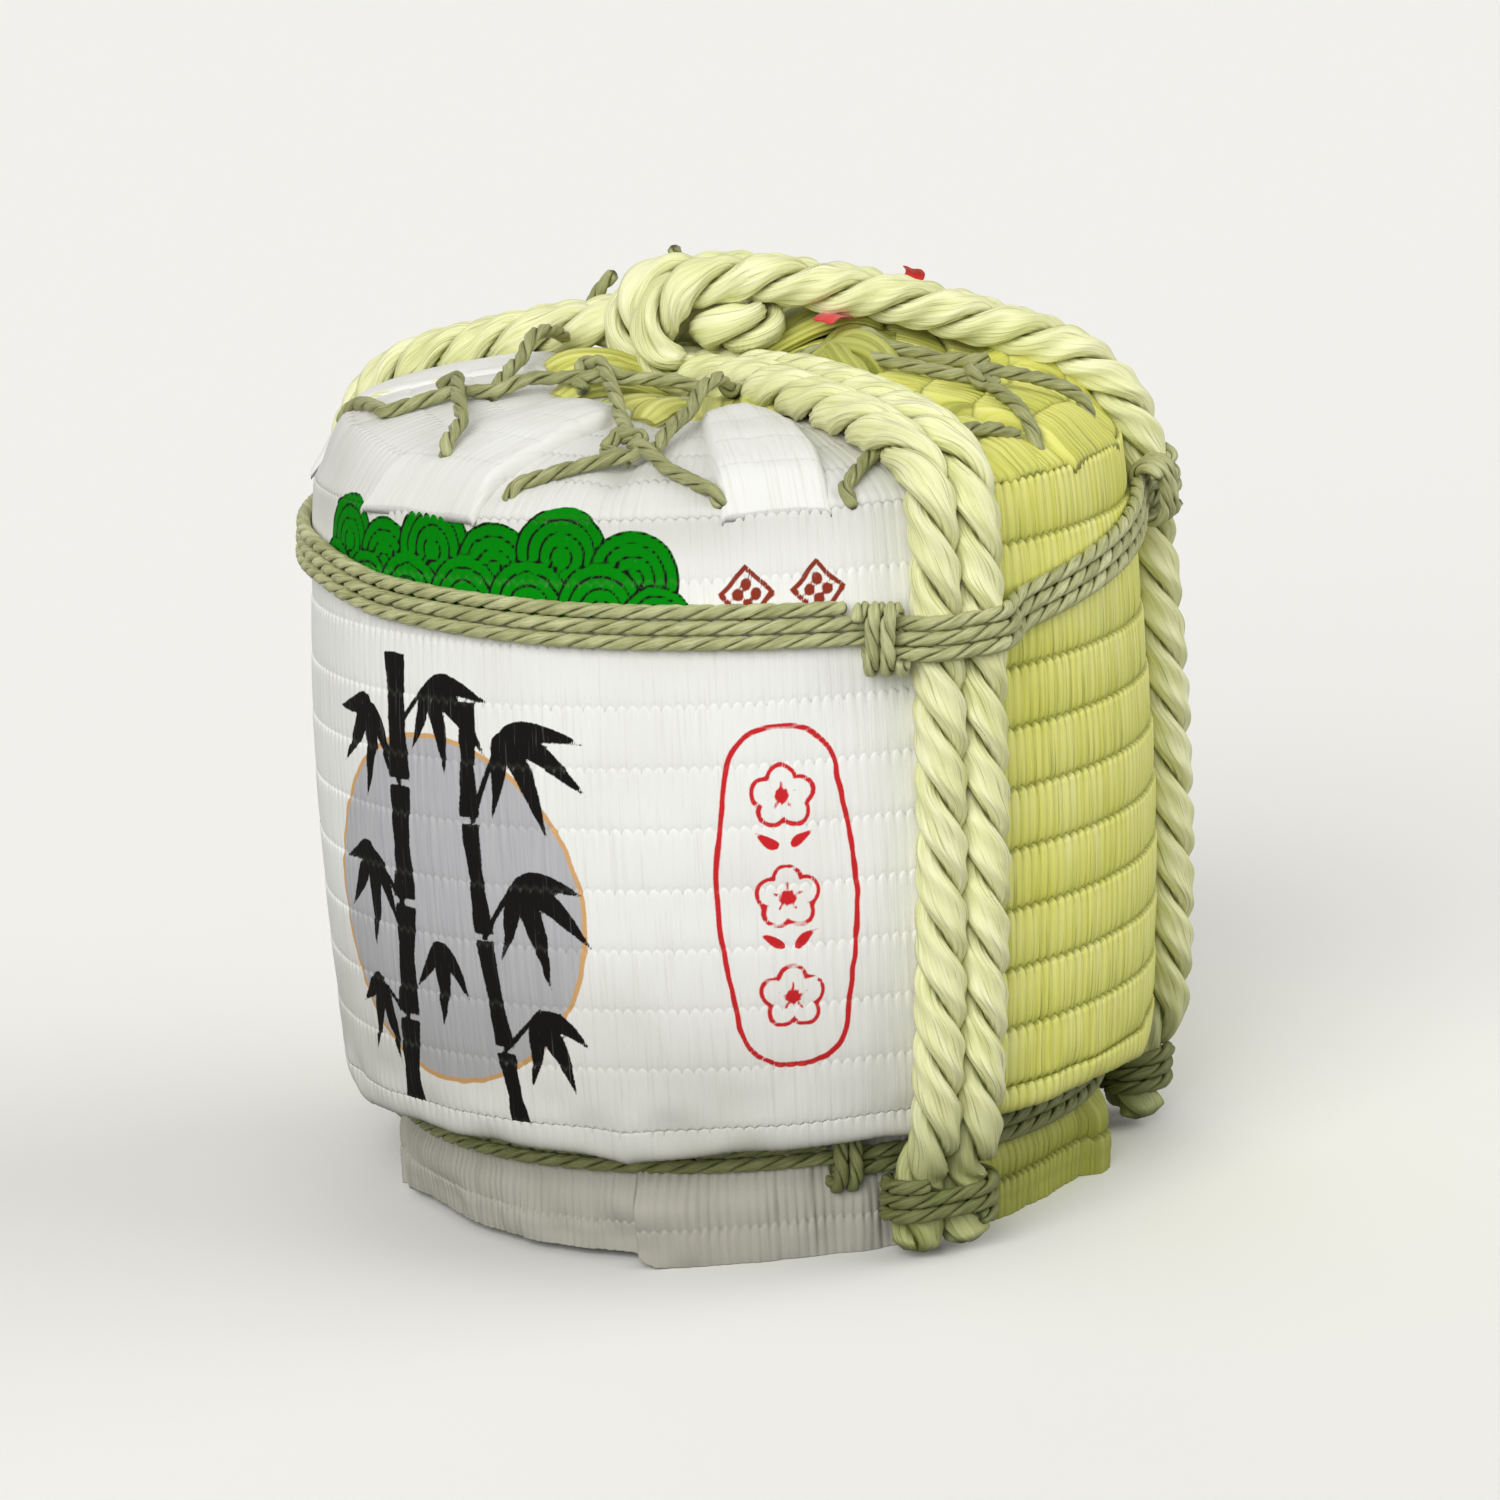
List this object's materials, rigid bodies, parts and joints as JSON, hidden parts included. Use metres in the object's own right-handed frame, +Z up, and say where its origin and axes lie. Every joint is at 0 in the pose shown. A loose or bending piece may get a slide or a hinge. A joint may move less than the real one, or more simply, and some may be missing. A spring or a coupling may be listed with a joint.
{
  "type": "straw-wrapped sake barrel",
  "caption": "Display sake barrel: a hooped cedar stave cask packed in straw, wrapped in printed mats and bound with straw ropes knotted on top",
  "frame": {"origin": "On the floor, at the middle of the round straw pad the barrel stands on; every rope end and the pad's underside rest on z = 0", "axes": "+Z points up along the barrel's axis; -Y points out of the middle of the printed white front; +X is to the right of a viewer who faces that print"},
  "size_m": [0.6708, 0.6206, 0.6734],
  "materials": {
    "cedar_stave": "planed cedar, reddish",
    "cedar_board": "planed cedar, pale",
    "bung_wood": "turned pale wood",
    "bamboo_hoop": "plaited split bamboo",
    "straw_packing": "loose bundled straw",
    "white_mat": "stitched straw mat painted matt white with a print",
    "green_mat": "stitched raw straw mat, yellow-green",
    "thick_rope": "thick two-strand laid straw rope, pale",
    "thin_rope": "thin two-strand laid straw rope, olive",
    "red_ribbon": "flat woven ribbon"
  },
  "bodies": {
    "root": {"stave_01": "cedar_stave", "stave_02": "cedar_stave", "stave_03": "cedar_stave", "stave_04": "cedar_stave", "stave_05": "cedar_stave", "stave_06": "cedar_stave", "stave_07": "cedar_stave", "stave_08": "cedar_stave", "stave_09": "cedar_stave", "stave_10": "cedar_stave", "stave_11": "cedar_stave", "stave_12": "cedar_stave", "stave_13": "cedar_stave", "stave_14": "cedar_stave", "stave_15": "cedar_stave", "stave_16": "cedar_stave", "lid_board_1": "cedar_board", "lid_board_2": "cedar_board", "lid_board_3": "cedar_board", "lid_board_4": "cedar_board", "lid_dowels": "bung_wood", "lid_bung": "bung_wood", "bottom_board_1": "cedar_board", "bottom_board_2": "cedar_board", "bottom_board_3": "cedar_board", "bottom_board_4": "cedar_board", "bottom_dowels": "bung_wood", "tap_bung": "bung_wood", "hoop_mouth": "bamboo_hoop", "hoop_neck": "bamboo_hoop", "hoop_upper": "bamboo_hoop", "hoop_middle": "bamboo_hoop", "hoop_lower": "bamboo_hoop", "hoop_ankle": "bamboo_hoop", "hoop_foot": "bamboo_hoop", "bottom_pad": "straw_packing", "side_packing": "straw_packing", "head_pad": "straw_packing", "mat_front": "white_mat", "mat_rear": "green_mat", "rope_near": "thick_rope", "rope_far": "thick_rope", "rope_bight": "thick_rope", "waist_band": "thin_rope", "waist_hitch_a": "thin_rope", "waist_hitch_b": "thin_rope", "waist_hitch_c": "thin_rope", "foot_band": "thin_rope", "foot_whipping_a": "thin_rope", "foot_whipping_b": "thin_rope", "foot_whipping_c": "thin_rope", "head_lacing": "thin_rope", "red_ribbon": "red_ribbon"}
  },
  "joints": []
}
